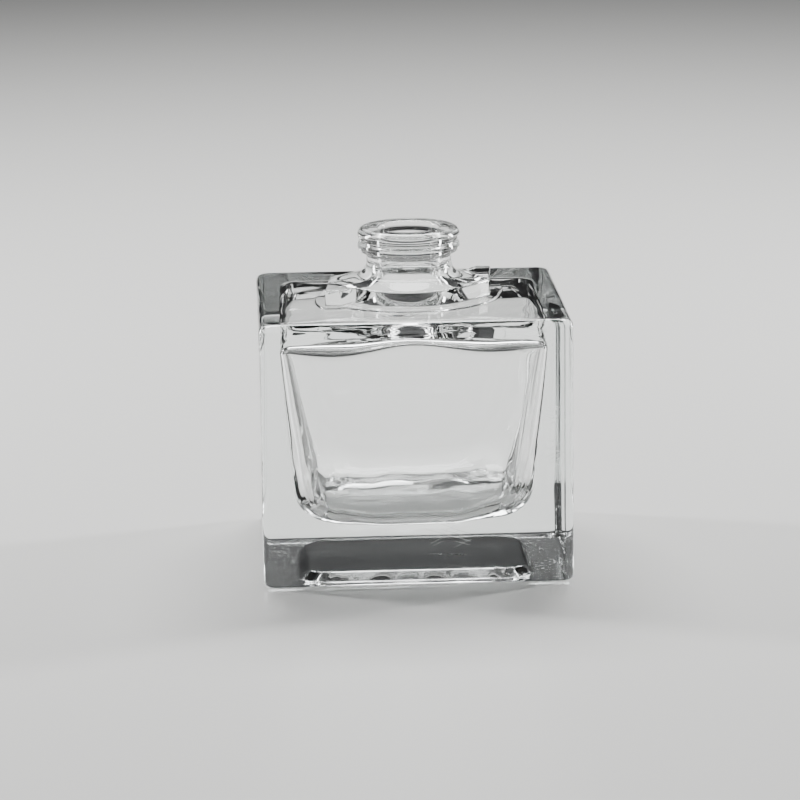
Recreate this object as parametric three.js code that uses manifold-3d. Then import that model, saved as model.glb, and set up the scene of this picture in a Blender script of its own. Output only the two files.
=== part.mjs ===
// Low square aftershave bottle, moulded in one piece of clear glass.
// Frame: origin at the middle of the base, +Z up through the neck, -Y towards the front face. Millimetres.
import * as THREE from 'three';
import { mergeVertices } from 'three/addons/utils/BufferGeometryUtils.js';
import Module from 'manifold-3d';

const wasm = await Module();
wasm.setup();

// Outer block
const WIDTH = 44.9;
const DEPTH = 40.0;
const SHOULDER_Z = 38.8;
const UPRIGHT_EDGE_RADIUS = 1.4;
const SHOULDER_EDGE_RADIUS = 1.2;
const BASE_EDGE_RADIUS = 0.9;

// Push-up under the base, which leaves a flat rim to stand on
const PUSH_UP_WIDTH = 34.5;
const PUSH_UP_DEPTH = 29.5;
const PUSH_UP_RADIUS = 4.5;
const PUSH_UP_HEIGHT = 1.2;
const PUSH_UP_SLOPE = 1.5;

// Inner chamber: walls and upright corners grow thicker towards the base, and it sits slightly turned
const FLOOR_Z = 7.6;
const CEILING_Z = 35.4;
const FLOOR_SIDE_WALL = 5.4;
const FLOOR_FACE_WALL = 5.6;
const CEILING_SIDE_WALL = 3.15;
const CEILING_FACE_WALL = 3.5;
const FLOOR_CORNER_RADIUS = 6.3;
const CEILING_CORNER_RADIUS = 1.4;
const FLOOR_FILLET = 4.3;
const CEILING_FILLET = 1.2;
const CHAMBER_TURN = THREE.MathUtils.degToRad(-1.2);

// Collar round the neck, with two tangential lugs half a turn apart
const PAD_RADIUS = 13.1;
const PAD_HEIGHT = 0.25;
const COLLAR_RADIUS = 10.2;
const COLLAR_HEIGHT = 2.4;
const COLLAR_SLOPE = THREE.MathUtils.degToRad(18);
const LUG_HEIGHT = 2.55;
const LUG_OUTLINE = [[7.1, -7.1], [9.9, -4.4], [11.6, -2.0], [12.6, 8.0], [10.4, 8.3], [7.7, 4.7], [6, -4]];
const LUG_CORNERS = [0, 18, 0.5, 0.35, 0.35, 0, 0];

// Crimp neck finish: two beads on a short neck
const NECK_RADIUS = 6.25;
const FLARE_RADIUS = 2.2;
const BEAD_RADIUS = 7.5;
const BEAD_ROUNDING = 1.0;
const GROOVE_DEPTH = 0.2;
const UPPER_BEAD_Z = 48.1;
const LOWER_BEAD_Z = 46.4;
const LIP_Z = 49.1;
const BEAD_UNDERSIDE_Z = 45.1;
const BORE_RADIUS = 4.45;
const MOUTH_ROUNDING = 0.5;
const THROAT_REACH = 7.5;
const THROAT_RISE = 6.0;

// Facets
const CORNER_STEPS = 8;
const FILLET_STEPS = 6;
const THROAT_STEPS = 8;
const TURN_STEPS = 64;
const OVERLAP = 1.0;

// A closed outline of a rectangle with round corners, anticlockwise about the origin.
function roundedRectangle(width, depth, radius) {
  const outline = [];
  const corners = [[1, 1], [-1, 1], [-1, -1], [1, -1]];
  corners.forEach(([sideX, sideY], quarter) => {
    for (let step = 0; step <= CORNER_STEPS; step += 1) {
      const angle = (quarter + step / CORNER_STEPS) * Math.PI / 2;
      const x = sideX * (width / 2 - radius) + radius * Math.cos(angle);
      const y = sideY * (depth / 2 - radius) + radius * Math.sin(angle);
      outline.push(new THREE.Vector2(x, y));
    }
  });
  return outline;
}

// A closed skin through level outlines of equal length, from the lowest to the highest.
function loft(levels) {
  const count = levels[0].outline.length;
  const positions = levels.flatMap(({ outline, z }) => outline.flatMap((point) => [point.x, point.y, z]));
  const faces = [];
  for (let level = 0; level < levels.length - 1; level += 1) {
    for (let i = 0; i < count; i += 1) {
      const next = (i + 1) % count;
      const a = level * count + i;
      const b = level * count + next;
      faces.push(a, b, b + count, a, b + count, a + count);
    }
  }
  const bottomCentre = levels.length * count;
  const topCentre = bottomCentre + 1;
  const top = (levels.length - 1) * count;
  positions.push(0, 0, levels[0].z, 0, 0, levels[levels.length - 1].z);
  for (let i = 0; i < count; i += 1) {
    const next = (i + 1) % count;
    faces.push(bottomCentre, next, i, topCentre, top + i, top + next);
  }
  const geometry = new THREE.BufferGeometry();
  geometry.setAttribute('position', new THREE.Float32BufferAttribute(positions, 3));
  geometry.setIndex(faces);
  return geometry;
}

// Points on an arc in the (radius, height) plane, angles in degrees from the outward direction.
function arc(centreRadius, centreZ, radius, fromDegrees, toDegrees) {
  const points = [];
  for (let step = 0; step <= FILLET_STEPS; step += 1) {
    const angle = THREE.MathUtils.degToRad(THREE.MathUtils.lerp(fromDegrees, toDegrees, step / FILLET_STEPS));
    points.push([centreRadius + radius * Math.cos(angle), centreZ + radius * Math.sin(angle)]);
  }
  return points;
}

// A solid of revolution about Z; the profile runs up from the axis and back to it.
function revolve(profile) {
  const points = profile.map(([radius, z]) => new THREE.Vector2(radius, z));
  return new THREE.LatheGeometry(points, TURN_STEPS).rotateX(Math.PI / 2);
}

function toSolid(geometry) {
  geometry.deleteAttribute('normal');
  geometry.deleteAttribute('uv');
  const merged = mergeVertices(geometry, 1e-5);
  const vertProperties = new Float32Array(merged.attributes.position.array);
  const triVerts = new Uint32Array(merged.index.array);
  return new wasm.Manifold(new wasm.Mesh({ numProp: 3, vertProperties, triVerts }));
}

function toGeometry(solid) {
  const { vertProperties, triVerts, numProp } = solid.getMesh();
  const positions = [];
  for (let i = 0; i < vertProperties.length; i += numProp) {
    positions.push(vertProperties[i], vertProperties[i + 1], vertProperties[i + 2]);
  }
  const geometry = new THREE.BufferGeometry();
  geometry.setAttribute('position', new THREE.Float32BufferAttribute(positions, 3));
  geometry.setIndex(new THREE.Uint32BufferAttribute(triVerts, 1));
  geometry.computeVertexNormals();
  return geometry;
}

// The square block, with every outer edge rounded.
function block() {
  const levels = [];
  const addLevel = (inset, z) => {
    const radius = Math.max(UPRIGHT_EDGE_RADIUS - inset / 2, BASE_EDGE_RADIUS);
    levels.push({ outline: roundedRectangle(WIDTH - 2 * inset, DEPTH - 2 * inset, radius), z });
  };
  for (let step = 0; step <= FILLET_STEPS; step += 1) {
    const angle = step / FILLET_STEPS * Math.PI / 2;
    addLevel(BASE_EDGE_RADIUS * (1 - Math.sin(angle)), BASE_EDGE_RADIUS * (1 - Math.cos(angle)));
  }
  for (let step = 0; step <= FILLET_STEPS; step += 1) {
    const angle = step / FILLET_STEPS * Math.PI / 2;
    const z = SHOULDER_Z - SHOULDER_EDGE_RADIUS * (1 - Math.sin(angle));
    addLevel(SHOULDER_EDGE_RADIUS * (1 - Math.cos(angle)), z);
  }
  return toSolid(loft(levels));
}

// The sloped recess under the base, run past the rim so that it cuts clean.
function pushUp() {
  const mouthSlope = PUSH_UP_SLOPE * OVERLAP / PUSH_UP_HEIGHT;
  const outline = (growth) => roundedRectangle(
    PUSH_UP_WIDTH + 2 * growth,
    PUSH_UP_DEPTH + 2 * growth,
    PUSH_UP_RADIUS + growth,
  );
  return toSolid(loft([
    { outline: outline(mouthSlope), z: -OVERLAP },
    { outline: outline(-PUSH_UP_SLOPE), z: PUSH_UP_HEIGHT },
  ]));
}

// The chamber's plan at a height: it narrows and its corners open out towards the floor.
function chamberOutline(z, inset) {
  const rise = (z - FLOOR_Z) / (CEILING_Z - FLOOR_Z);
  const sideWall = THREE.MathUtils.lerp(FLOOR_SIDE_WALL, CEILING_SIDE_WALL, rise);
  const faceWall = THREE.MathUtils.lerp(FLOOR_FACE_WALL, CEILING_FACE_WALL, rise);
  const corner = THREE.MathUtils.lerp(FLOOR_CORNER_RADIUS, CEILING_CORNER_RADIUS, rise);
  const width = WIDTH - 2 * (sideWall + inset);
  const depth = DEPTH - 2 * (faceWall + inset);
  return roundedRectangle(width, depth, Math.max(corner - inset / 2, CEILING_FILLET / 2));
}

function chamber() {
  const levels = [];
  for (let step = 0; step <= FILLET_STEPS; step += 1) {
    const angle = step / FILLET_STEPS * Math.PI / 2;
    const z = FLOOR_Z + FLOOR_FILLET * (1 - Math.cos(angle));
    levels.push({ outline: chamberOutline(z, FLOOR_FILLET * (1 - Math.sin(angle))), z });
  }
  for (let step = 0; step <= FILLET_STEPS; step += 1) {
    const angle = step / FILLET_STEPS * Math.PI / 2;
    const z = CEILING_Z - CEILING_FILLET * (1 - Math.sin(angle));
    levels.push({ outline: chamberOutline(z, CEILING_FILLET * (1 - Math.cos(angle))), z });
  }
  return toSolid(loft(levels).rotateZ(CHAMBER_TURN));
}

// The way out of the chamber: a wide rounded throat, the straight bore and the rounded mouth.
function bore() {
  const throatEdge = BORE_RADIUS + THROAT_REACH;
  const throat = [];
  for (let step = 0; step <= THROAT_STEPS; step += 1) {
    const angle = step / THROAT_STEPS * Math.PI / 2;
    const radius = throatEdge - THROAT_REACH * Math.sin(angle);
    throat.push([radius, CEILING_Z + THROAT_RISE * (1 - Math.cos(angle))]);
  }
  return toSolid(revolve([
    [0, CEILING_Z - OVERLAP],
    [throatEdge, CEILING_Z - OVERLAP],
    ...throat,
    ...arc(BORE_RADIUS + MOUTH_ROUNDING, LIP_Z - MOUTH_ROUNDING, MOUTH_ROUNDING, 180, 90),
    [BORE_RADIUS + MOUTH_ROUNDING, LIP_Z + OVERLAP],
    [0, LIP_Z + OVERLAP],
  ]));
}

// The collar's disc and sloped top, the flare, the neck and its two beads.
function neck() {
  const collarTop = SHOULDER_Z + COLLAR_HEIGHT;
  const flareCentreRadius = NECK_RADIUS + FLARE_RADIUS;
  const flareEnd = 270 - THREE.MathUtils.radToDeg(COLLAR_SLOPE);
  const flareFootRadius = flareCentreRadius - FLARE_RADIUS * Math.sin(COLLAR_SLOPE);
  const flareFootZ = collarTop + (COLLAR_RADIUS - flareFootRadius) * Math.tan(COLLAR_SLOPE);
  const flareCentreZ = flareFootZ + FLARE_RADIUS * Math.cos(COLLAR_SLOPE);
  const beadCentre = BEAD_RADIUS - BEAD_ROUNDING;
  const grooveZ = (UPPER_BEAD_Z + LOWER_BEAD_Z) / 2;
  return toSolid(revolve([
    [0, SHOULDER_Z - OVERLAP],
    [COLLAR_RADIUS, SHOULDER_Z - OVERLAP],
    [COLLAR_RADIUS, collarTop],
    ...arc(flareCentreRadius, flareCentreZ, FLARE_RADIUS, flareEnd, 180),
    [NECK_RADIUS, BEAD_UNDERSIDE_Z],
    ...arc(beadCentre, LOWER_BEAD_Z, BEAD_ROUNDING, -60, 30),
    [BEAD_RADIUS - GROOVE_DEPTH, grooveZ],
    ...arc(beadCentre, UPPER_BEAD_Z, BEAD_ROUNDING, -30, 90),
    [0, LIP_Z],
  ]));
}

function pad() {
  return toSolid(revolve([
    [0, SHOULDER_Z - OVERLAP],
    [PAD_RADIUS, SHOULDER_Z - OVERLAP],
    [PAD_RADIUS, SHOULDER_Z + PAD_HEIGHT],
    [0, SHOULDER_Z + PAD_HEIGHT],
  ]));
}

// A closed shape through corner points, each rounded to its own radius.
function roundedShape(points, radii) {
  const shape = new THREE.Shape();
  points.forEach((point, i) => {
    const corner = new THREE.Vector2(...point);
    const before = new THREE.Vector2(...points[(i + points.length - 1) % points.length]);
    const after = new THREE.Vector2(...points[(i + 1) % points.length]);
    const inward = before.sub(corner).normalize();
    const outward = after.sub(corner).normalize();
    const halfAngle = Math.acos(inward.dot(outward)) / 2;
    const reach = radii[i] / Math.tan(halfAngle);
    const start = corner.clone().addScaledVector(inward, reach);
    const end = corner.clone().addScaledVector(outward, reach);
    if (i === 0) {
      shape.moveTo(start.x, start.y);
    } else {
      shape.lineTo(start.x, start.y);
    }
    if (radii[i] > 0) {
      shape.quadraticCurveTo(corner.x, corner.y, end.x, end.y);
    }
  });
  shape.closePath();
  return shape;
}

function lug(turn) {
  const shape = roundedShape(LUG_OUTLINE, LUG_CORNERS);
  const depth = LUG_HEIGHT + OVERLAP;
  const options = { depth, bevelEnabled: false, curveSegments: FILLET_STEPS };
  const geometry = new THREE.ExtrudeGeometry(shape, options);
  geometry.translate(0, 0, SHOULDER_Z - OVERLAP);
  geometry.rotateZ(turn);
  return toSolid(geometry);
}

const outside = [pad(), neck(), lug(0), lug(Math.PI)].reduce((sum, solid) => sum.add(solid), block());
const bottle = [chamber(), bore(), pushUp()].reduce((rest, hollow) => rest.subtract(hollow), outside);

const clearGlass = new THREE.MeshStandardMaterial({
  name: 'clear_glass',
  color: 0xeef3f2,
  roughness: 0.04,
  metalness: 0,
  transparent: true,
  opacity: 0.35,
});

const part = new THREE.Group();
const glassBottle = new THREE.Mesh(toGeometry(bottle), clearGlass);
glassBottle.name = 'glass_bottle';
part.add(glassBottle);

export default part;
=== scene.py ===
"""Low square aftershave bottle, moulded in one piece of clear glass, on a pale studio floor."""

import functools
import math

import bpy
import numpy as np
from mathutils import Matrix, Vector


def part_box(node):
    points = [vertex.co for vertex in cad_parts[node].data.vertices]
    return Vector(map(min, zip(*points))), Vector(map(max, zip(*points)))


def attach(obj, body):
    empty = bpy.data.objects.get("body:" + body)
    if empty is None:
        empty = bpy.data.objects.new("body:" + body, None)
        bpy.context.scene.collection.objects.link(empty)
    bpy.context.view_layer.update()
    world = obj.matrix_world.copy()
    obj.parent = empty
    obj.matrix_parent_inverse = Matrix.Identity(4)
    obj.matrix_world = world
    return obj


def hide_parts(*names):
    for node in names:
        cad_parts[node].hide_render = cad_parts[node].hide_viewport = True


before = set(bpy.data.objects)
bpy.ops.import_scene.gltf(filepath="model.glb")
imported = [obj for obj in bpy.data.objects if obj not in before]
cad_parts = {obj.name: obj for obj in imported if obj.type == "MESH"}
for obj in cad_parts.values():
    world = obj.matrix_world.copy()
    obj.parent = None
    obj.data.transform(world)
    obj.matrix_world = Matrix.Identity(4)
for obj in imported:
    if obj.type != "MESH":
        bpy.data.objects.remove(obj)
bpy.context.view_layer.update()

MM = 0.001
LOW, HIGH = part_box("glass_bottle")

# Outer block
HALF_WIDTH = HIGH.x
HALF_DEPTH = HIGH.y
LIP_Z = HIGH.z
NECK_HEIGHT = 10.3 * MM
SHOULDER_Z = LIP_Z - NECK_HEIGHT
SHOULDER_BORDER = 2.5 * MM
UPRIGHT_EDGE_RADIUS = 1.4 * MM
SHOULDER_EDGE_RADIUS = 1.2 * MM
BASE_EDGE_RADIUS = 0.9 * MM
SIDE_STEPS = 28

# Push-up under the base
PUSH_UP_RIM = 5.2 * MM
PUSH_UP_SLOPE = 1.5 * MM
PUSH_UP_HEIGHT = 1.2 * MM
PUSH_UP_CORNER = 4.5 * MM
PUSH_UP_FILLET = 0.7 * MM
RIM_FILLET = 0.5 * MM
STANDING_RIM = 0.1 * MM

# Inner chamber
FLOOR_Z = 7.6 * MM
CEILING_Z = 35.2 * MM
FLOOR_WALLS = np.array([5.4, 5.6]) * MM
CEILING_WALLS = np.array([3.15, 3.5]) * MM
FLOOR_CORNER = 6.3 * MM
CEILING_CORNER = 1.4 * MM
LEFT_BACK_CORNER_EXTRA = 2.8 * MM
RIGHT_BACK_CORNER_EXTRA = 3.8 * MM
FLOOR_FILLET = 4.3 * MM
LEFT_FILLET_EXTRA = 1.1 * MM
RIGHT_FILLET_EXTRA = 3.1 * MM
CEILING_FILLET = 1.2 * MM
LEFT_CEILING_WAVE = 0.9 * MM
RIGHT_CEILING_WAVE = 0.6 * MM
CEILING_WAVELENGTH = 22 * MM
BACK_CEILING_FILLET = 3.2 * MM
ARCH_RISE = 0.65 * MM
ARCH_WIDTH = 9.0 * MM
CHAMBER_TURN = math.radians(-1.2)

# Thin round pad under the collar: round each lug its edge bulges, and it trails the lug by a small turn
PAD_RADIUS = 13.1 * MM
PAD_HEIGHT = 0.25 * MM
PAD_EDGE = 0.12 * MM
PAD_EDGE_WIDTH = 0.25 * MM
PAD_SURROUND = 0.6 * MM
PAD_MARGIN = 0.9 * MM
PAD_LAG = math.radians(3)
PAD_BLEND = 0.3 * MM

# Collar and its two lugs, half a turn apart: lug points and radii in mm, ends in degrees
COLLAR_RADIUS = 10.2 * MM
COLLAR_HEIGHT = 2.4 * MM
COLLAR_SLOPE = math.tan(math.radians(18))
COLLAR_EDGE = 0.25 * MM
COLLAR_EDGE_WIDTH = 0.3 * MM
COLLAR_FOOT = 0.15 * MM
COLLAR_FOOT_WIDTH = 0.22 * MM
COLLAR_TOP_WIDTH = 0.8 * MM
SLOPE_BLEND = 0.15 * MM
LUG_START = -45
LUG_END = 34.1
LUG_END_COLUMN = 39.4
LUG_POINTS = [(9.9, -4.4), (11.6, -2.0), (12.6, 8.0), (10.4, 8.3)]
LUG_ROUNDING = [3.0, 18.0, 0.5, 0.35, 0.35, 0.5]
LUG_RISE = 0.15 * MM
LUG_RISE_WIDTH = 1.5 * MM

# Mesh columns, in degrees: they fan out round the notch behind each lug, where they turn by the fan
CLOSEST_COLUMNS = 0.08
NOTCH_COLUMNS = [32.4, 38.6, 39.4, 44.4, 128, 160]
PAD_FAN = [0, 1.5, 5, 4.5, 0, 0]
TOP_FAN = [-13, -11, -10, -3.5, 0, 0]

# Neck finish
NECK_RADIUS = 6.25 * MM
FLARE_RADIUS = 2.2 * MM
BEAD_RADIUS = 7.5 * MM
BEAD_ROUNDING = 1.0 * MM
UPPER_BEAD_Z = LIP_Z - BEAD_ROUNDING
LOWER_BEAD_Z = LIP_Z - 2.7 * MM
BEAD_UNDERSIDE_Z = LIP_Z - 4.0 * MM
BEAD_UNDERSIDE_FILLET = 0.35 * MM
GROOVE_REACH = 0.72 * MM
GROOVE_FILLET = 0.25 * MM
BORE_RADIUS = 4.45 * MM
MOUTH_ROUNDING = 0.5 * MM
THROAT_REACH = 7.5 * MM
THROAT_RISE = 6.0 * MM
FINE_RINGS_BOTTOM = 41.5 * MM
FINE_RINGS_TOP = 43 * MM

# Camera
VIEW_YAW = math.radians(2.83)
VIEW_PITCH = math.radians(13.73)
VIEW_ROLL = math.radians(0.74)
VIEW_DISTANCE = 519 * MM
VIEW_LENS = 157.1
VIEW_SENSOR = 36
VIEW_NEAREST = 10 * MM
AIM_RIGHT = -1.56 * MM
AIM_UP = 3.39 * MM

# Lights, in metres and watts: name, place, width, height, power
SOFTBOXES = [
    ("top_softbox", (0, 0.3, 0.5), 0.45, 0.25, 8),
    ("left_strip", (-0.4, 0.15, 0.1), 0.05, 0.3, 5),
    ("right_strip", (0.4, 0.15, 0.1), 0.05, 0.3, 5),
]
DARK_SKY = (0.02, 0.02, 0.021, 1)
PALE_SKY = (0.15, 0.151, 0.153, 1)
PALE_SKY_HEIGHT = 0.8

# How far the glass strays from its true surface, and over what lengths
SWELL = 0.05 * MM
SWELL_LENGTHS = (20 * MM, 20 * MM, 26 * MM)
STREAK = 0.045 * MM
STREAK_LENGTHS = (2.4 * MM, 2.4 * MM, 16 * MM)
STREAK_BOTTOM = -26 * MM
STREAK_TOP = -10 * MM
RIPPLE = 0.012 * MM
PEEL = 0.004 * MM
SCRATCH_DEPTH = 0.006 * MM
SEED_HEIGHT = 0.03 * MM
SEED_SPACING = 5 * MM
LONG_SCRATCH = ((1.2 * MM, 4.7 * MM), (10.5 * MM, 4.1 * MM))

# Glass and floor
GLASS_TINT = (0.985, 0.992, 0.99, 1)
GLASS_IOR = 1.52
GLASS_ABSORPTION = (0.80, 0.92, 0.90, 1)
ABSORPTION_DENSITY = 5
POLISHED = 0.004
FLOOR_COLOUR = (0.5, 0.5, 0.49, 1)
FLOOR_ROUGHNESS = 0.35
FLOOR_HALF_SIDE = 3

# The rim of the base touches the floor at a few points only, so a film of air lies under it
FLOOR_GAP = 0.03 * MM


# ---------------------------------------------------------------- outlines

def rectangle_reach(angles, half_x, half_y, corner):
    """Distance from the axis to a rounded rectangle, in each direction."""
    along_x, along_y = np.abs(np.cos(angles)), np.abs(np.sin(angles))
    to_side = half_x / np.maximum(along_x, 1e-9)
    to_front = half_y / np.maximum(along_y, 1e-9)
    centre_x, centre_y = half_x - corner, half_y - corner
    middle = along_x * centre_x + along_y * centre_y
    inside = middle ** 2 - centre_x ** 2 - centre_y ** 2 + corner ** 2
    to_corner = middle + np.sqrt(np.maximum(inside, 0))
    reach = np.minimum(to_side, to_front)
    in_corner = (reach * along_x > centre_x) & (reach * along_y > centre_y)
    return np.where(in_corner, to_corner, reach)


def rounded_path(points, radii, steps):
    """A path through the points, with an arc at each inner point that has a radius."""
    points = [np.array(point, float) for point in points]
    path = [points[0]]
    for before, corner, after, radius in zip(points, points[1:], points[2:], radii):
        if radius == 0:
            path.append(corner)
            continue
        back = (before - corner) / np.linalg.norm(before - corner)
        onward = (after - corner) / np.linalg.norm(after - corner)
        half = math.acos(np.clip(back @ onward, -1, 1)) / 2
        middle = (back + onward) / np.linalg.norm(back + onward)
        centre = corner + middle * radius / math.sin(half)
        start = corner + back * radius / math.tan(half) - centre
        end = corner + onward * radius / math.tan(half) - centre
        swing = math.pi - 2 * half
        for step in range(steps + 1):
            turn = swing * step / steps
            blend = (math.sin(swing - turn) * start + math.sin(turn) * end) / math.sin(swing)
            path.append(centre + blend)
    path.append(points[-1])
    return np.array(path)


def on_disc(degrees):
    """A point on the collar's round edge, in mm."""
    turn = math.radians(degrees)
    return COLLAR_RADIUS / MM * math.cos(turn), COLLAR_RADIUS / MM * math.sin(turn)


def collar_outline(lug_end):
    """The collar's plan outline: a disc with a lug on each side, which ends on the disc at lug_end."""
    start_run = [on_disc(LUG_START - 6), on_disc(LUG_START)]
    end_run = [on_disc(lug_end), on_disc(lug_end + 5)]
    lug = rounded_path(start_run + LUG_POINTS + end_run, LUG_ROUNDING, 6)
    rest = [on_disc(degrees) for degrees in np.linspace(lug_end + 8, 173 + LUG_START, 32)]
    half = np.vstack([lug, rest]) * MM
    return np.vstack([half, -half])


def column_angles(outline):
    """Directions of the mesh columns: close together at the block's corners and the lugs."""
    quadrant = np.concatenate([
        np.arange(0, 28, 3.0),
        np.arange(28, 38, 1.0),
        np.arange(38, 44.5, 0.35),
        np.arange(45, 53, 1.0),
        np.arange(54, 90, 3.0),
    ])
    mirrored = np.concatenate([quadrant, 180 - quadrant, 180 + quadrant, 360 - quadrant, [90, 270]])
    corners = np.degrees(np.arctan2(outline[:, 1], outline[:, 0]))
    wanted = np.sort(np.concatenate([mirrored, corners]) % 360)
    kept = [wanted[0]]
    for angle in wanted[1:]:
        if angle - kept[-1] > CLOSEST_COLUMNS:
            kept.append(angle)
    if kept[-1] > 360 - CLOSEST_COLUMNS:
        kept.pop()
    return np.radians(kept)


# The notch behind each lug undercuts the columns, so the columns follow a slightly opened outline
OUTLINE = collar_outline(LUG_END)
OPENED_OUTLINE = collar_outline(LUG_END_COLUMN)
ANGLES = column_angles(OPENED_OUTLINE)
DIRECTIONS = np.stack([np.cos(ANGLES), np.sin(ANGLES)], axis=1)


def level(reach, z):
    """One ring of points at the given reach in each column's direction."""
    plan = DIRECTIONS * np.broadcast_to(reach, ANGLES.shape)[:, None]
    return np.column_stack([plan, np.broadcast_to(z, ANGLES.shape)])


def block_level(inset, z):
    """One ring of the block, whose corners grow wider towards the push-up."""
    insets = [0, SHOULDER_EDGE_RADIUS, PUSH_UP_RIM, PUSH_UP_RIM + PUSH_UP_SLOPE]
    radii = [UPRIGHT_EDGE_RADIUS, UPRIGHT_EDGE_RADIUS, PUSH_UP_CORNER, PUSH_UP_CORNER - PUSH_UP_SLOPE]
    corner = np.interp(inset, insets, radii)
    return level(rectangle_reach(ANGLES, HALF_WIDTH - inset, HALF_DEPTH - inset, corner), z)


def chamber_reach(z, inset):
    """The chamber's plan outline: it narrows downwards, and its corners widen, most at the back."""
    rise = (z - FLOOR_Z) / (CEILING_Z - FLOOR_Z)
    side_wall, face_wall = (
        low + (high - low) * rise + inset for low, high in zip(FLOOR_WALLS, CEILING_WALLS)
    )
    corner = FLOOR_CORNER + (CEILING_CORNER - FLOOR_CORNER) * rise - inset / 2
    extra = np.where(DIRECTIONS[:, 0] < 0, LEFT_BACK_CORNER_EXTRA, RIGHT_BACK_CORNER_EXTRA)
    corner = corner + (DIRECTIONS[:, 1] > 0) * extra * np.sqrt(np.clip(1 - rise, 0, 1))
    corner = np.maximum(corner, CEILING_FILLET / 2)
    return rectangle_reach(ANGLES, HALF_WIDTH - side_wall, HALF_DEPTH - face_wall, corner)


def smooth_step(value, low, high):
    share = np.clip((value - low) / (high - low), 0, 1)
    return share * share * (3 - 2 * share)


def floor_fillet():
    """The radius between the floor and the walls, larger in the corners."""
    plan = np.abs(DIRECTIONS) * chamber_reach(FLOOR_Z, 0)[:, None]
    near_corner = smooth_step(plan / np.max(plan, axis=0), 0.35, 0.9).prod(axis=1)
    extra = np.where(DIRECTIONS[:, 0] < 0, LEFT_FILLET_EXTRA, RIGHT_FILLET_EXTRA)
    return FLOOR_FILLET + near_corner * extra


def ceiling_fillet():
    """The radius between the ceiling and the walls: it waves along the front and is larger at the back."""
    reach = chamber_reach(CEILING_Z, 0)
    phase = DIRECTIONS[:, 0] * reach / CEILING_WAVELENGTH * 2 * math.pi
    wave = np.where(DIRECTIONS[:, 0] < 0, LEFT_CEILING_WAVE, RIGHT_CEILING_WAVE)
    front = CEILING_FILLET + wave * (1 - np.cos(phase))
    to_back = smooth_step(DIRECTIONS[:, 1] * reach / HALF_DEPTH, -0.7, 0.7)
    return front + (BACK_CEILING_FILLET - front) * to_back


def ceiling_arch(reach):
    """How far the ceiling rises between the chamber's corners."""
    near_middle = np.exp(-(DIRECTIONS * np.broadcast_to(reach, ANGLES.shape)[:, None] / ARCH_WIDTH) ** 2)
    return ARCH_RISE * (1 - (1 - near_middle[:, 0]) * (1 - near_middle[:, 1]))


# ---------------------------------------------------------------- rings

def outside_rings():
    """From the push-up, over the rim and up the sides, to the shoulder."""
    corners = [
        (2 * PUSH_UP_RIM, PUSH_UP_HEIGHT),
        (PUSH_UP_RIM + PUSH_UP_SLOPE, PUSH_UP_HEIGHT),
        (PUSH_UP_RIM, 0),
        (0, 0),
        (0, SHOULDER_Z),
        (SHOULDER_BORDER, SHOULDER_Z),
    ]
    radii = [PUSH_UP_FILLET, RIM_FILLET, BASE_EDGE_RADIUS, SHOULDER_EDGE_RADIUS]
    rings = []
    path = rounded_path(corners, radii, 7)
    for (inset, z), (next_inset, next_z) in zip(path, path[1:]):
        count = SIDE_STEPS if next_z - z > SHOULDER_Z / 2 else 1
        for step in range(count):
            share = step / count
            rings.append(block_level(inset + (next_inset - inset) * share, z + (next_z - z) * share))
    rings.append(block_level(*path[-1]))
    return rings


def collar_frame():
    """The collar outline at each column, and the outward direction there."""
    angles = np.arctan2(OPENED_OUTLINE[:, 1], OPENED_OUTLINE[:, 0]) % (2 * math.pi)
    order = np.argsort(angles)
    points = np.column_stack([
        np.interp(ANGLES, angles[order], OUTLINE[order, axis], period=2 * math.pi) for axis in (0, 1)
    ])
    along = np.roll(points, -1, axis=0) - np.roll(points, 1, axis=0)
    outward = np.column_stack([along[:, 1], -along[:, 0]])
    return points, outward / np.linalg.norm(outward, axis=1)[:, None]


def smooth_max(a, b, width):
    """The larger of the two, rounded off where they cross."""
    return (a + b + np.sqrt((a - b) ** 2 + width ** 2)) / 2


def slope_rise(plan):
    """How far the collar's sloped top stands above its rim."""
    inward = COLLAR_RADIUS - np.linalg.norm(plan, axis=1)
    return smooth_max(inward, 0, SLOPE_BLEND) * COLLAR_SLOPE


def fanned(shifts):
    """Column directions turned by the given degrees at the NOTCH_COLUMNS, which repeat every half turn."""
    return ANGLES + np.radians(np.interp(np.degrees(ANGLES), NOTCH_COLUMNS, shifts, period=180))


def round_ring(angles, reach, z):
    """One ring of points at the given reach in each of the angles."""
    plan = np.column_stack([np.cos(angles), np.sin(angles)]) * np.broadcast_to(reach, angles.shape)[:, None]
    return np.column_stack([plan, np.broadcast_to(z, angles.shape)])


def pad_reach(angles):
    """The round pad's edge, which bulges round the lugs."""
    outline_angles = np.arctan2(OPENED_OUTLINE[:, 1], OPENED_OUTLINE[:, 0]) % (2 * math.pi)
    order = np.argsort(outline_angles)
    outline_reach = np.linalg.norm(OPENED_OUTLINE, axis=1)
    reach = np.maximum(*(
        np.interp(angles - lag, outline_angles[order], outline_reach[order], period=2 * math.pi)
        for lag in (0, PAD_LAG)
    ))
    return smooth_max(reach + PAD_MARGIN, PAD_RADIUS, PAD_BLEND)


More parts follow.
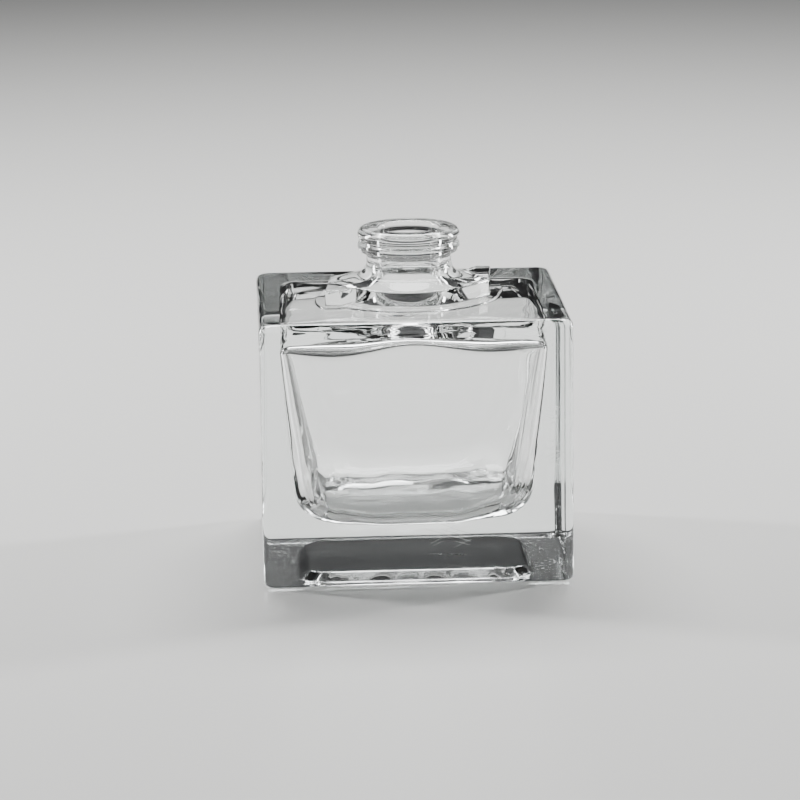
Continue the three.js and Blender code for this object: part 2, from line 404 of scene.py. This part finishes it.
def collar_rings():
    """The round pad on the shoulder, the collar's wall and its sloped top."""
    points, outward = collar_frame()
    pad_angles = fanned(PAD_FAN)
    pad_edge = pad_reach(pad_angles)
    pad_top = SHOULDER_Z + PAD_HEIGHT
    rings = []
    step_path = [(PAD_SURROUND, SHOULDER_Z), (0, SHOULDER_Z), (0, pad_top), (-PAD_EDGE_WIDTH, pad_top)]
    for offset, z in rounded_path(step_path, [PAD_EDGE, PAD_EDGE], 3):
        rings.append(round_ring(pad_angles, pad_edge + offset, z))
    rim = SHOULDER_Z + COLLAR_HEIGHT
    on_lug = np.clip((np.linalg.norm(points, axis=1) - COLLAR_RADIUS) / LUG_RISE_WIDTH, 0, 1)
    wall_path = [(COLLAR_FOOT_WIDTH, pad_top), (0, pad_top), (0, rim), (-COLLAR_EDGE_WIDTH, rim)]
    for offset, z in rounded_path(wall_path, [COLLAR_FOOT, COLLAR_EDGE], 5):
        plan = points + offset * outward
        lift = (slope_rise(plan) + on_lug * LUG_RISE) if z > pad_top + COLLAR_HEIGHT / 2 else 0
        rings.append(np.column_stack([plan, z + lift + np.zeros(len(plan))]))
    edge = rings[-1][:, :2]
    inner = round_ring(fanned(TOP_FAN), COLLAR_RADIUS - COLLAR_TOP_WIDTH, 0)[:, :2]
    for share in (0.2, 0.4, 0.6, 0.8, 1):
        plan = edge + (inner - edge) * share
        lift = slope_rise(plan) + on_lug * LUG_RISE * (1 - share)
        rings.append(np.column_stack([plan, rim + lift]))
    return rings


def arc(centre, z, radius, start, end, steps):
    """Points on an arc in the (reach, height) plane, angles in degrees."""
    turns = np.radians(np.linspace(start, end, steps + 1))
    return [(centre + radius * math.cos(turn), z + radius * math.sin(turn)) for turn in turns]


def neck_rings():
    """Flare, neck, the two beads, the lip and the bore, down to the throat."""
    rim = SHOULDER_Z + COLLAR_HEIGHT
    root_z = rim + (COLLAR_RADIUS - NECK_RADIUS) * COLLAR_SLOPE
    start = (COLLAR_RADIUS - COLLAR_TOP_WIDTH, rim + COLLAR_TOP_WIDTH * COLLAR_SLOPE)
    bead = BEAD_RADIUS - BEAD_ROUNDING
    lower = arc(bead, LOWER_BEAD_Z, BEAD_ROUNDING, -60, 36, 10)
    upper = arc(bead, UPPER_BEAD_Z, BEAD_ROUNDING, -36, 90, 14)
    foot_corners = [start, (NECK_RADIUS, root_z), (NECK_RADIUS, BEAD_UNDERSIDE_Z), lower[0]]
    foot = rounded_path(foot_corners, [FLARE_RADIUS, BEAD_UNDERSIDE_FILLET], 9)
    groove_bottom = (bead + GROOVE_REACH, (LOWER_BEAD_Z + UPPER_BEAD_Z) / 2)
    groove = rounded_path([lower[-1], groove_bottom, upper[0]], [GROOVE_FILLET], 4)
    mouth = arc(BORE_RADIUS + MOUTH_ROUNDING, LIP_Z - MOUTH_ROUNDING, MOUTH_ROUNDING, 90, 180, 8)
    throat_top = CEILING_Z + ARCH_RISE + THROAT_RISE
    bore = [(BORE_RADIUS, z) for z in np.linspace(mouth[-1][1], throat_top, 9)[1:-1]]
    path = [*foot[1:-1], *lower, *groove[1:-1], *upper, *mouth, *bore]
    return [level(reach, z) for reach, z in path]


def chamber_rings():
    """Throat, ceiling, walls and floor of the chamber."""
    rings = []
    for turn in np.linspace(0, math.pi / 2, 20):
        reach = BORE_RADIUS + THROAT_REACH * (1 - math.cos(turn))
        z = CEILING_Z + THROAT_RISE * (1 - math.sin(turn)) + ceiling_arch(reach)
        rings.append(level(reach, z))
    throat = BORE_RADIUS + THROAT_REACH
    corner = ceiling_fillet()
    edge = chamber_reach(CEILING_Z, corner)
    for share in (0.2, 0.45, 0.7, 0.9):
        reach = throat + (edge - throat) * share
        rings.append(level(reach, CEILING_Z + ceiling_arch(reach)))
    top = CEILING_Z + ceiling_arch(chamber_reach(CEILING_Z, 0))
    for turn in np.linspace(0, math.pi / 2, 12):
        z = top - corner * (1 - math.cos(turn))
        rings.append(level(chamber_reach(z, corner * (1 - math.sin(turn))), z))
    fillet = floor_fillet()
    bottom = FLOOR_Z + fillet
    for share in np.linspace(0, 1, 26)[1:-1]:
        z = top - corner + (bottom - top + corner) * share
        rings.append(level(chamber_reach(z, 0), z))
    for turn in np.linspace(0, math.pi / 2, 15):
        z = FLOOR_Z + fillet * (1 - math.sin(turn))
        rings.append(level(chamber_reach(z, fillet * (1 - math.cos(turn))), z))
    edge = chamber_reach(FLOOR_Z, fillet)
    for share in (0.85, 0.7, 0.55, 0.4, 0.25, 0.12):
        rings.append(level(edge * share, FLOOR_Z))
    turn = np.array(Matrix.Rotation(CHAMBER_TURN, 3, "Z"))
    return [ring @ turn.T for ring in rings]


def push_up_rings():
    """The push-up's flat top, out from its middle."""
    edge = np.linalg.norm(block_level(2 * PUSH_UP_RIM, PUSH_UP_HEIGHT)[:, :2], axis=1)
    return [level(edge * share, PUSH_UP_HEIGHT) for share in (0.12, 0.35, 0.6, 0.8)]


def skin(rings):
    """One closed mesh through the rings, from the middle of the base to the middle of the floor."""
    columns = len(ANGLES)
    first = np.array([[0, 0, rings[0][0, 2]]])
    last = np.array([[0, 0, rings[-1][0, 2]]])
    points = np.vstack([first, *rings, last])
    faces = []
    for column in range(columns):
        after = (column + 1) % columns
        faces.append((0, 1 + after, 1 + column))
        for ring in range(len(rings) - 1):
            low = 1 + ring * columns
            high = low + columns
            faces.append((low + column, low + after, high + after, high + column))
        end = 1 + (len(rings) - 1) * columns
        faces.append((end + column, end + after, len(points) - 1))
    return points, faces


def waves(points, wavelengths, count, seed):
    """A smooth uneven field, from about -1 to 1, made of plane waves in random directions."""
    random = np.random.default_rng(seed)
    field = np.zeros(len(points))
    for _ in range(count):
        direction = random.normal(size=3) / np.array(wavelengths)
        field += np.sin(points @ direction * 2 * math.pi + random.uniform(0, 2 * math.pi))
    return field / math.sqrt(count / 2)


def uneven(points, normals, softness):
    """Moves the points as the glass lies: nearly true against the mould, wavy in the chamber."""
    swell = waves(points, SWELL_LENGTHS, count=12, seed=3) * SWELL
    streaks = waves(points, STREAK_LENGTHS, count=12, seed=5) * STREAK
    corner = np.abs(points[:, 0] / HALF_WIDTH * points[:, 1] / HALF_DEPTH)
    in_corner = smooth_step(corner, 0.18, 0.5) * smooth_step(-points[:, 2], STREAK_BOTTOM, STREAK_TOP)
    shift = (swell + streaks * in_corner) * softness
    return np.clip(points + normals * shift[:, None], LOW, HIGH)


class Nodes:
    """Short calls for the nodes that the glass is made of."""

    def __init__(self, material):
        material.use_nodes = True
        self.tree = material.node_tree
        self.shader = self.tree.nodes["Principled BSDF"]
        self.coordinates = self.tree.nodes.new("ShaderNodeTexCoord").outputs["Object"]

    def join(self, output, socket):
        self.tree.links.new(output, socket)

    def math(self, operation, first, second=0.0):
        node = self.tree.nodes.new("ShaderNodeMath")
        node.operation = operation
        for socket, value in zip(node.inputs, (first, second)):
            if isinstance(value, (int, float)):
                socket.default_value = value
            else:
                self.join(value, socket)
        return node.outputs[0]

    def times(self, *values):
        return functools.reduce(lambda product, value: self.math("MULTIPLY", product, value), values)

    def plus(self, *values):
        return functools.reduce(lambda total, value: self.math("ADD", total, value), values)

    def spread(self, value, low, high, out_low=0.0, out_high=1.0):
        """Maps low..high to out_low..out_high, smoothly and with the ends held."""
        node = self.tree.nodes.new("ShaderNodeMapRange")
        node.interpolation_type = "SMOOTHSTEP"
        self.join(value, node.inputs["Value"])
        limits = {"From Min": low, "From Max": high, "To Min": out_low, "To Max": out_high}
        for name, number in limits.items():
            node.inputs[name].default_value = number
        return node.outputs["Result"]

    def noise(self, grain, detail=0.0, turn=0.0):
        """Noise whose grain has the given length along X, Y and Z, turned about Y."""
        mapping = self.tree.nodes.new("ShaderNodeMapping")
        mapping.vector_type = "TEXTURE"
        mapping.inputs["Rotation"].default_value = (0, turn, 0)
        mapping.inputs["Scale"].default_value = grain
        self.join(self.coordinates, mapping.inputs["Vector"])
        node = self.tree.nodes.new("ShaderNodeTexNoise")
        node.inputs["Scale"].default_value = 1
        node.inputs["Detail"].default_value = detail
        self.join(mapping.outputs["Vector"], node.inputs["Vector"])
        return node.outputs["Fac"]

    def axis(self, name):
        node = self.tree.nodes.new("ShaderNodeSeparateXYZ")
        self.join(self.coordinates, node.inputs["Vector"])
        return node.outputs[name]

    def attribute(self, name):
        node = self.tree.nodes.new("ShaderNodeAttribute")
        node.attribute_name = name
        return node.outputs["Fac"]


def fine_scratches(glass):
    """Handling scratches: two families of long thin streaks, kept to a few worn patches."""
    grain = (6 * MM, 6 * MM, 0.06 * MM)
    streaks = [glass.spread(glass.noise(grain, turn=turn), 0.72, 0.8) for turn in (0.3, -0.45)]
    worn = glass.spread(glass.noise((8 * MM, 8 * MM, 8 * MM), 1), 0.55, 0.68)
    return glass.times(glass.math("MAXIMUM", *streaks), worn)


def long_scratch(glass):
    """The one long scratch on the front face, low on the right."""
    (start_x, start_z), (end_x, end_z) = LONG_SCRATCH
    run = glass.math("SUBTRACT", glass.axis("X"), start_x)
    wander = glass.times(glass.noise((2 * MM, 2 * MM, 2 * MM), 2), 0.3 * MM)
    line = glass.plus(glass.times(run, (end_z - start_z) / (end_x - start_x)), start_z, wander)
    away = glass.math("ABSOLUTE", glass.math("SUBTRACT", glass.axis("Z"), line))
    on_line = glass.spread(away, 0.03 * MM, 0.12 * MM, 1, 0)
    start = glass.spread(run, 0, 0.5 * MM)
    end = glass.spread(run, 0.5 * (end_x - start_x), end_x - start_x, 1, 0)
    front = glass.spread(glass.axis("Y"), -HALF_DEPTH + 0.2 * MM, -HALF_DEPTH + 0.4 * MM, 1, 0)
    return glass.times(on_line, start, end, front)


def seeds(glass):
    """Tiny bumps over the seeds of gas that lie just under the surface."""
    cells = glass.tree.nodes.new("ShaderNodeTexVoronoi")
    cells.inputs["Scale"].default_value = 1 / SEED_SPACING
    glass.join(glass.coordinates, cells.inputs["Vector"])
    return glass.spread(cells.outputs["Distance"], 0.01, 0.03, 1, 0)


def glass_material():
    """Clear flint glass: polished outside, rippled inside, scuffed where it stands and is handled."""
    material = bpy.data.materials.new("flint_glass")
    glass = Nodes(material)
    shader = glass.shader
    shader.inputs["Base Color"].default_value = GLASS_TINT
    shader.inputs["Transmission Weight"].default_value = 1
    shader.inputs["IOR"].default_value = GLASS_IOR

    inside = glass.attribute("inside")
    height = glass.axis("Z")
    outside = glass.math("SUBTRACT", 1, inside)
    marks = glass.plus(glass.times(fine_scratches(glass), outside, 0.5), long_scratch(glass))
    smudges = glass.spread(glass.noise((14 * MM, 14 * MM, 11 * MM), 2), 0.5, 0.75, 0, 0.03)
    scuffs = glass.spread(glass.noise((0.7 * MM, 0.7 * MM, 0.7 * MM), 2), 0.35, 0.65, 0, 0.25)
    rim = glass.spread(height, 0.05 * MM, 0.4 * MM, 1, 0)
    roughness = glass.plus(POLISHED, smudges, glass.times(scuffs, rim), glass.times(marks, 0.25))
    glass.join(roughness, shader.inputs["Roughness"])

    on_neck = glass.spread(height, FINE_RINGS_BOTTOM, FINE_RINGS_TOP, 0, 1.5)
    rippled = glass.math("MAXIMUM", glass.times(inside, 0.6), on_neck)
    ripple = glass.times(glass.noise((10 * MM, 10 * MM, 0.7 * MM), 1), rippled, RIPPLE)
    peel = glass.times(glass.noise((3 * MM, 3 * MM, 3 * MM)), PEEL)
    scratches = glass.times(marks, -SCRATCH_DEPTH)
    relief = glass.plus(ripple, peel, scratches, glass.times(seeds(glass), SEED_HEIGHT))
    bump = glass.tree.nodes.new("ShaderNodeBump")
    bump.inputs["Distance"].default_value = 1
    glass.join(relief, bump.inputs["Height"])
    glass.join(bump.outputs["Normal"], shader.inputs["Normal"])

    absorption = glass.tree.nodes.new("ShaderNodeVolumeAbsorption")
    absorption.inputs["Color"].default_value = GLASS_ABSORPTION
    absorption.inputs["Density"].default_value = ABSORPTION_DENSITY
    glass.join(absorption.outputs[0], glass.tree.nodes["Material Output"].inputs["Volume"])
    return material


def bottle():
    """The one piece of glass; each part of it strays from its true surface by its own share."""
    groups = [
        (push_up_rings(), 0.4),
        (outside_rings(), 0.1),
        (collar_rings(), 0.3),
        (neck_rings(), 0.2),
        (chamber_rings(), 1.0),
    ]
    rings = [ring for group, _ in groups for ring in group]
    softness = [soft for group, soft in groups for ring in group for _ in ring]
    points, faces = skin(rings)
    softness = np.array([0.3, *softness, 1.0])
    softness[points[:, 2] < STANDING_RIM] = 0
    mesh = bpy.data.meshes.new("glass_body")
    mesh.from_pydata(points.tolist(), [], faces)
    normals = np.zeros(len(points) * 3, np.float32)
    mesh.vertex_normals.foreach_get("vector", normals)
    points = uneven(points, normals.reshape(-1, 3), softness)
    mesh.vertices.foreach_set("co", points.astype(np.float32).ravel())
    mesh.update()
    mesh.shade_smooth()
    inside = mesh.attributes.new("inside", "FLOAT", "POINT")
    inside.data.foreach_set("value", (softness > 0.9).astype(np.float32))
    piece = bpy.data.objects.new("glass_body", mesh)
    bpy.context.scene.collection.objects.link(piece)
    mesh.materials.append(glass_material())
    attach(piece, "root")
    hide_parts("glass_bottle")


def floor():
    mesh = bpy.data.meshes.new("floor")
    side = FLOOR_HALF_SIDE
    corners = [(-side, -side), (side, -side), (side, side), (-side, side)]
    mesh.from_pydata([(x, y, -FLOOR_GAP) for x, y in corners], [], [(0, 1, 2, 3)])
    piece = bpy.data.objects.new("floor", mesh)
    bpy.context.scene.collection.objects.link(piece)
    material = bpy.data.materials.new("floor")
    material.use_nodes = True
    shader = material.node_tree.nodes["Principled BSDF"]
    shader.inputs["Base Color"].default_value = FLOOR_COLOUR
    shader.inputs["Roughness"].default_value = FLOOR_ROUGHNESS
    mesh.materials.append(material)


def camera():
    data = bpy.data.cameras.new("camera")
    data.lens = VIEW_LENS
    data.sensor_width = VIEW_SENSOR
    data.clip_start = VIEW_NEAREST
    piece = bpy.data.objects.new("camera", data)
    bpy.context.scene.collection.objects.link(piece)
    flat = VIEW_DISTANCE * math.cos(VIEW_PITCH)
    height = VIEW_DISTANCE * math.sin(VIEW_PITCH)
    middle = Vector((0, 0, SHOULDER_Z / 2))
    offset = Vector((-flat * math.sin(VIEW_YAW), -flat * math.cos(VIEW_YAW), height))
    place = middle + offset
    right = Vector((math.cos(VIEW_YAW), -math.sin(VIEW_YAW), 0))
    up = right.cross(-offset).normalized()
    aim = middle + AIM_RIGHT * right + AIM_UP * up
    turn = (aim - place).to_track_quat("-Z", "Y").to_matrix().to_4x4()
    piece.matrix_world = Matrix.Translation(place) @ turn @ Matrix.Rotation(-VIEW_ROLL, 4, "Z")
    bpy.context.scene.camera = piece


def area_light(name, place, width, height, power):
    """A rectangular light that faces the middle of the block."""
    data = bpy.data.lights.new(name, "AREA")
    data.shape = "RECTANGLE"
    data.size = width
    data.size_y = height
    data.energy = power
    piece = bpy.data.objects.new(name, data)
    bpy.context.scene.collection.objects.link(piece)
    place = Vector(place)
    middle = Vector((0, 0, SHOULDER_Z / 2))
    turn = (middle - place).to_track_quat("-Z", "Y").to_matrix().to_4x4()
    piece.matrix_world = Matrix.Translation(place) @ turn


def lights():
    for softbox in SOFTBOXES:
        area_light(*softbox)
    world = bpy.data.worlds.new("studio")
    bpy.context.scene.world = world
    world.use_nodes = True
    tree = world.node_tree
    place = tree.nodes.new("ShaderNodeTexCoord")
    split = tree.nodes.new("ShaderNodeSeparateXYZ")
    ramp = tree.nodes.new("ShaderNodeValToRGB")
    ramp.color_ramp.elements[0].color = DARK_SKY
    ramp.color_ramp.elements[1].color = PALE_SKY
    ramp.color_ramp.elements[1].position = PALE_SKY_HEIGHT
    tree.links.new(place.outputs["Generated"], split.inputs["Vector"])
    tree.links.new(split.outputs["Z"], ramp.inputs["Fac"])
    tree.links.new(ramp.outputs["Color"], tree.nodes["Background"].inputs["Color"])


camera()
bottle()
floor()
lights()
